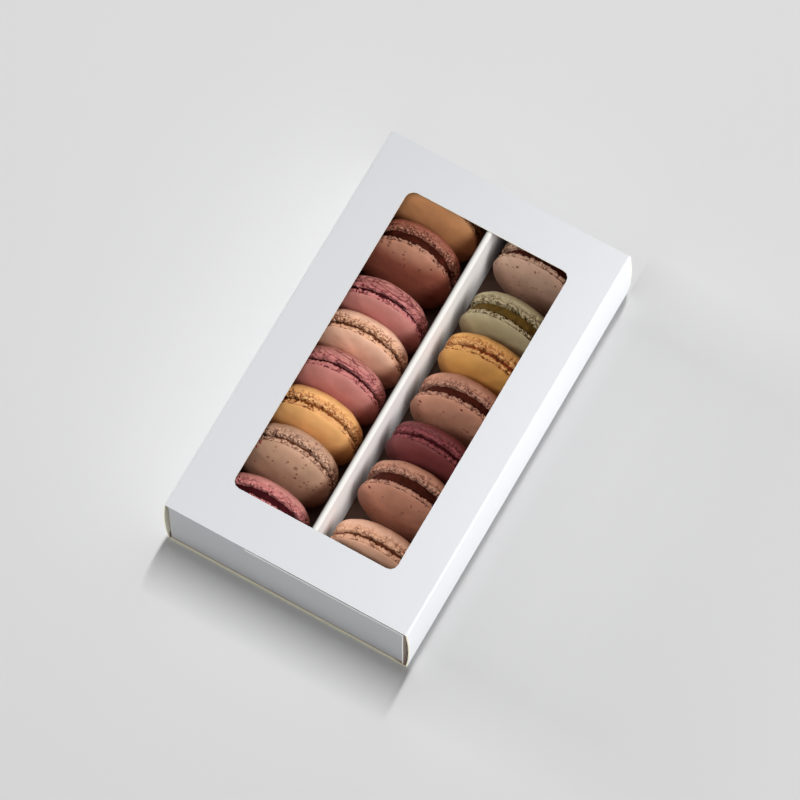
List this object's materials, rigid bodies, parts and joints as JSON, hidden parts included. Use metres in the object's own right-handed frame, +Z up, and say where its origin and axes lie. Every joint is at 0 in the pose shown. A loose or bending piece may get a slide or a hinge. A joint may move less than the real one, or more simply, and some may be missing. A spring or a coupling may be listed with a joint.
{
  "type": "macaron box",
  "caption": "Slide-out gift box: a white card sleeve with a rounded window over a divided tray that holds two rows of standing macarons.",
  "frame": {"origin": "on the surface it rests on, under the middle of the box", "axes": "+X to the right across the box, +Y along the box to its far end, +Z up"},
  "size_m": [0.1174, 0.19, 0.046],
  "materials": {
    "sleeve_card": "matte",
    "tray_card": "matte",
    "divider_card": "matte",
    "caramel_shell": "matte",
    "toffee_filling": "satin",
    "cocoa_shell": "matte",
    "chocolate_filling": "satin",
    "rose_shell": "matte",
    "plum_filling": "satin",
    "beige_shell": "matte",
    "apricot_shell": "matte",
    "honey_filling": "satin",
    "almond_shell": "matte",
    "taupe_shell": "matte",
    "pistachio_shell": "matte",
    "olive_filling": "satin",
    "rust_filling": "satin",
    "berry_shell": "matte"
  },
  "bodies": {
    "sleeve": {"sleeve": "sleeve_card"},
    "tray": {"tray": "tray_card", "divider": "divider_card", "left1_back": "caramel_shell", "left1_filling": "toffee_filling", "left1_front": "caramel_shell", "left2_back": "cocoa_shell", "left2_filling": "chocolate_filling", "left2_front": "cocoa_shell", "left3_back": "rose_shell", "left3_filling": "plum_filling", "left3_front": "rose_shell", "left4_back": "beige_shell", "left4_filling": "toffee_filling", "left4_front": "beige_shell", "left5_back": "rose_shell", "left5_filling": "plum_filling", "left5_front": "rose_shell", "left6_back": "apricot_shell", "left6_filling": "honey_filling", "left6_front": "apricot_shell", "left7_back": "almond_shell", "left7_filling": "toffee_filling", "left7_front": "almond_shell", "left8_back": "rose_shell", "left8_filling": "plum_filling", "left8_front": "rose_shell", "right1_back": "taupe_shell", "right1_filling": "chocolate_filling", "right1_front": "taupe_shell", "right2_back": "pistachio_shell", "right2_filling": "olive_filling", "right2_front": "pistachio_shell", "right3_back": "apricot_shell", "right3_filling": "rust_filling", "right3_front": "apricot_shell", "right4_back": "cocoa_shell", "right4_filling": "chocolate_filling", "right4_front": "cocoa_shell", "right5_back": "berry_shell", "right5_filling": "plum_filling", "right5_front": "berry_shell", "right6_back": "cocoa_shell", "right6_filling": "chocolate_filling", "right6_front": "cocoa_shell", "right7_back": "beige_shell", "right7_filling": "toffee_filling", "right7_front": "beige_shell"}
  },
  "joints": [
    {"name": "tray_slide", "type": "slide", "parent": "sleeve", "child": "tray", "axis": [0, -1, 0], "range_m": [-0.19, 0.19]}
  ]
}
